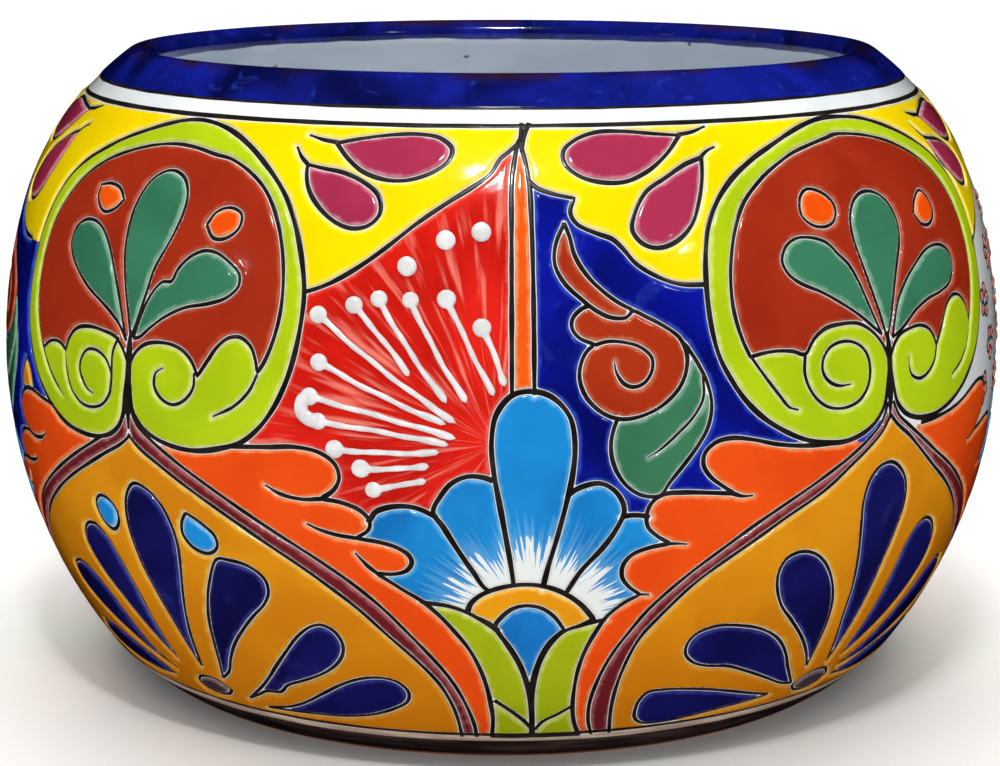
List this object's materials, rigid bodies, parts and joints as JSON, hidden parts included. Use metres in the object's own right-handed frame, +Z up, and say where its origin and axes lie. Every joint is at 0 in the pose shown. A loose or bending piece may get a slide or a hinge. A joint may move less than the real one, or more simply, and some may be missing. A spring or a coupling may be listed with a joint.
{
  "type": "painted pottery vase",
  "caption": "Round-bellied glazed earthenware pot with a wide mouth, dark outlines and raised enamel medallions, fans, daisies and leaf panels.",
  "frame": {"origin": "centre of the foot, on the surface that the pot stands on", "axes": "+Z up along the pot's axis; the panel with the white slip trails faces -Y"},
  "size_m": [0.3, 0.3, 0.1862],
  "materials": {
    "bisque_clay": "bare fired clay, matt and faintly gritty",
    "inside_glaze": "grey-white glaze with a few dark specks, satin gloss",
    "white_glaze": "white tin glaze, glossy",
    "cobalt_glaze": "cobalt rim glaze, brushed on in uneven depth, glossy",
    "dark_wash": "dark brown wash on bare clay, semi-matt",
    "cream_slip": "cream slip line, satin",
    "ink": "dark manganese outline, semi-matt, slightly recessed",
    "lime_enamel": "lime green enamel, glossy",
    "terracotta_enamel": "terracotta red enamel, glossy",
    "green_enamel": "sea green enamel, glossy",
    "orange_enamel": "orange enamel, glossy",
    "yellow_enamel": "bright yellow enamel, glossy",
    "magenta_enamel": "magenta enamel, glossy",
    "brown_enamel": "red-brown enamel, glossy",
    "ochre_enamel": "ochre enamel, deeper towards the foot, glossy",
    "cobalt_enamel": "cobalt enamel, pooled in uneven depth, glossy",
    "smoke_enamel": "thin smoky blue-black enamel, glossy",
    "sky_enamel": "sky blue enamel, glossy",
    "red_enamel": "thin red enamel with pale brush streaks, glossy",
    "white_slip": "raised white slip, glossy",
    "posy_enamel": "small dabs of dark red and blue enamel, glossy"
  },
  "bodies": {
    "root": {"clay_body": "bisque_clay", "interior_glaze": "inside_glaze", "exterior_glaze": "white_glaze", "rim_glaze": "cobalt_glaze", "foot_wash": "dark_wash", "cream_line": "cream_slip", "foot_stroke": "ink", "shoulder_stroke": "ink", "rim_stroke": "ink", "lime_borders": "lime_enamel", "medallion_fields": "terracotta_enamel", "green_leaves": "green_enamel", "orange_dots": "orange_enamel", "yellow_swags": "yellow_enamel", "magenta_drops": "magenta_enamel", "brown_ribbons": "brown_enamel", "ochre_fans": "ochre_enamel", "cobalt_petals": "cobalt_enamel", "fan_eyes": "smoke_enamel", "sky_drops": "sky_enamel", "orange_leaves": "orange_enamel", "red_panels": "red_enamel", "cobalt_panels": "cobalt_enamel", "orange_dividers": "orange_enamel", "terracotta_scrolls": "terracotta_enamel", "comma_leaves": "green_enamel", "daisy_petals": "sky_enamel", "daisy_arcs": "ochre_enamel", "daisy_drops": "sky_enamel", "base_leaves": "lime_enamel", "slip_trails": "white_slip", "posy_petals": "posy_enamel", "posy_eyes": "posy_enamel"}
  },
  "joints": []
}
